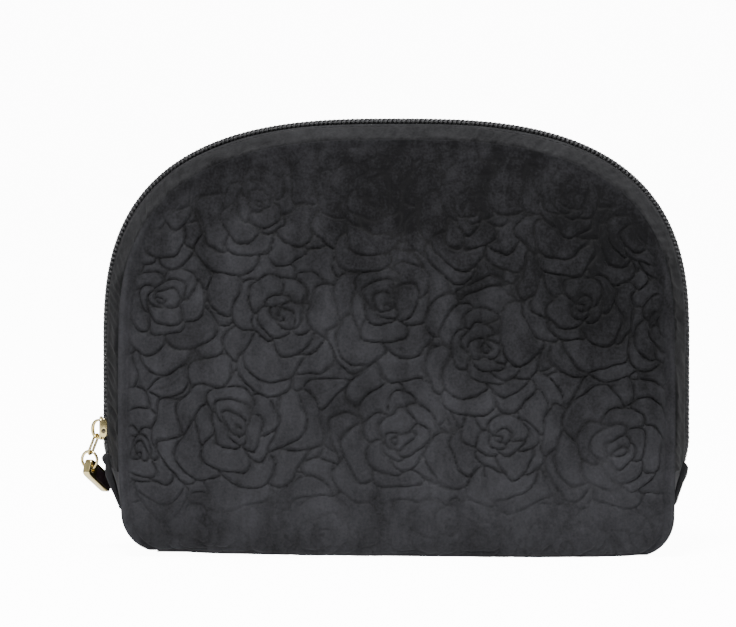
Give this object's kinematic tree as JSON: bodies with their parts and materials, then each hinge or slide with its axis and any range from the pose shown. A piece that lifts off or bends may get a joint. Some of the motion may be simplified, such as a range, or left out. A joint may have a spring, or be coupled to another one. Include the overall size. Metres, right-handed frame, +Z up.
{
  "type": "makeup bag",
  "caption": "Dome-topped velvet makeup bag with a flat base, a coil zip over the arch, and a slider with a chain pull.",
  "frame": {"origin": "on the floor, under the middle of the base", "axes": "+Z up, the front panel faces -Y, +X across the bag, the slider is at -X"},
  "size_m": [0.2232, 0.066, 0.1585],
  "materials": {
    "embossed_velvet": "black velvet pressed with a rose pattern",
    "plain_velvet": "plain black velvet",
    "foam": "thin foam padding",
    "lining": "black woven lining",
    "board": "stiffening board",
    "zip_tape": "black woven zip tape",
    "zip_coil": "black nylon coil",
    "gold": "pale gold plating, polished",
    "pull_leather": "dark leather inlay"
  },
  "bodies": {
    "bag": {"front_panel": "embossed_velvet", "back_panel": "embossed_velvet", "front_padding": "foam", "back_padding": "foam", "front_lining": "lining", "back_lining": "lining", "front_facing": "plain_velvet", "back_facing": "plain_velvet", "front_facing_lining": "lining", "back_facing_lining": "lining", "front_zip_tape": "zip_tape", "back_zip_tape": "zip_tape", "front_zip_coil": "zip_coil", "back_zip_coil": "zip_coil", "base_gusset": "plain_velvet", "base_board": "board", "base_lining": "lining", "left_end_tab": "plain_velvet", "right_end_tab": "plain_velvet"},
    "slider": {"slider_body": "gold", "slider_crown": "gold"},
    "link": {"chain_link": "gold"},
    "ring": {"chain_ring": "gold"},
    "pull": {"pull_frame": "gold", "pull_inlay": "pull_leather"}
  },
  "joints": [
    {"name": "slider_travel", "type": "slide", "parent": "bag", "child": "slider", "axis": [0, 0, 1], "range_m": [0, 0.04], "deforming": ["front_zip_coil", "back_zip_coil", "front_zip_tape", "back_zip_tape"]},
    {"name": "link_swing", "type": "hinge", "parent": "slider", "child": "link", "pos_m": [-0.10965, 0, 0.0426], "axis": [0, 1, 0], "range_deg": [0, 50]},
    {"name": "ring_swing", "type": "hinge", "parent": "link", "child": "ring", "pos_m": [-0.11245, 0, 0.0354], "axis": [0.3188, 0.9397, -0.124], "range_deg": [0, 40]},
    {"name": "pull_swing", "type": "hinge", "parent": "ring", "child": "pull", "pos_m": [-0.11245, 0, 0.03017], "axis": [0.891, -0.454, 0], "range_deg": [-100, 0]}
  ]
}
